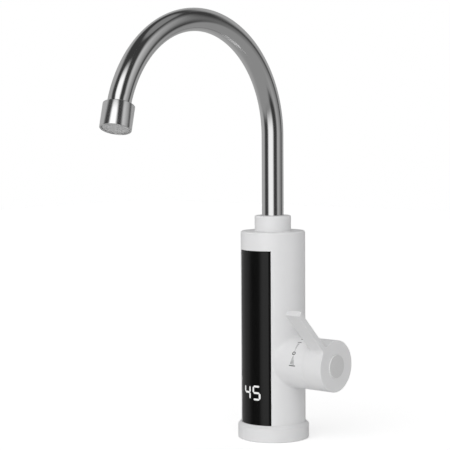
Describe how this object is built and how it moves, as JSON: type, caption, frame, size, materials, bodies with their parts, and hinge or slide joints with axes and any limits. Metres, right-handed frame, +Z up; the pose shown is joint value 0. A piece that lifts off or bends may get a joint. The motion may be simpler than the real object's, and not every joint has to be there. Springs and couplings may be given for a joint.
{
  "type": "electric instant water heater tap",
  "caption": "Upright countertop instant water heater tap with a swivelling gooseneck spout, side lever handle and black front display.",
  "frame": {"origin": "centre of the water inlet's mouth, in the plane of the base's underside", "axes": "+Z up, -Y towards the user (display and spout), +X along the handle's axis"},
  "size_m": [0.101, 0.2391, 0.3703],
  "materials": {
    "casing": "pearl light grey, satin gloss",
    "base": "pearl light grey, satin gloss",
    "collar": "pearl light grey, satin gloss",
    "handle": "pearl light grey, satin gloss",
    "cap": "light grey, satin",
    "print": "printed grey",
    "window": "black, high gloss",
    "digits": "lit white",
    "spout_metal": "polished chrome",
    "outlet_plastic": "grey, matt",
    "rubber": "black",
    "brass": "machined",
    "ceramic": "white, ground",
    "steel": "bright",
    "board": "green solder mask",
    "dark_plastic": "black",
    "white_plastic": "natural white"
  },
  "bodies": {
    "housing": {"body_shell": "casing", "base_ring": "base", "collar_nut": "collar", "scale_marks": "print", "display_lens": "window", "lit_digits": "digits", "inlet_filter": "outlet_plastic", "base_gasket": "rubber", "switch_membrane": "rubber", "tank_seal": "rubber", "valve_body": "brass", "cartridge_body": "brass", "cartridge_nut": "brass", "inlet_bush": "brass", "earth_terminal": "brass", "ceramic_disc_fixed": "ceramic", "terminal_insulators": "ceramic", "base_screws": "steel", "display_screws": "steel", "control_screws": "steel", "microswitch_screws": "steel", "tank_screws": "steel", "heating_element": "steel", "element_terminals": "steel", "riser_pipe": "steel", "tank_posts": "steel", "heater_tank": "steel", "thermal_cutout": "steel", "temperature_sensor": "steel", "display_board": "board", "control_board": "board", "display_module": "dark_plastic", "board_components": "dark_plastic", "microswitch": "dark_plastic", "cable_gland": "dark_plastic", "base_plate": "white_plastic", "switch_bonnet": "white_plastic", "slip_ring": "white_plastic", "tank_lid": "white_plastic"},
    "spout": {"spout_tube": "spout_metal", "spout_foot": "brass", "spout_o_rings": "rubber", "aerator_housing": "spout_metal", "aerator_washer": "rubber", "aerator_insert": "outlet_plastic", "aerator_screen": "outlet_plastic"},
    "handle": {"handle_knob": "handle", "knob_cap": "cap", "knob_screw": "steel", "spindle": "brass", "spindle_o_ring": "rubber", "ceramic_disc_moving": "ceramic"},
    "plunger": {"switch_plunger": "white_plastic", "switch_spring": "steel"},
    "button": {"microswitch_button": "white_plastic"}
  },
  "joints": [
    {"name": "spout_swivel", "type": "hinge", "parent": "housing", "child": "spout", "pos_m": [0, 0, 0.1902], "axis": [0, 0, 1], "continuous": true},
    {"name": "handle_turn", "type": "hinge", "parent": "housing", "child": "handle", "pos_m": [0.022, 0, 0.0689], "axis": [1, 0, 0], "range_deg": [-45, 45]},
    {"name": "plunger_lift", "type": "slide", "parent": "housing", "child": "plunger", "axis": [0, 0, 1], "range_m": [0, 0.0012], "stiffness_N_per_m": 500, "springref_m": -0.001, "deforming": ["switch_spring"]},
    {"name": "button_press", "type": "slide", "parent": "housing", "child": "button", "axis": [0, 0, 1], "range_m": [0, 0.0012], "stiffness_N_per_m": 2, "springref_m": -0.001}
  ],
  "couplings": [
    {"joint": "button_press", "follows": "plunger_lift", "ratio": 1}
  ]
}
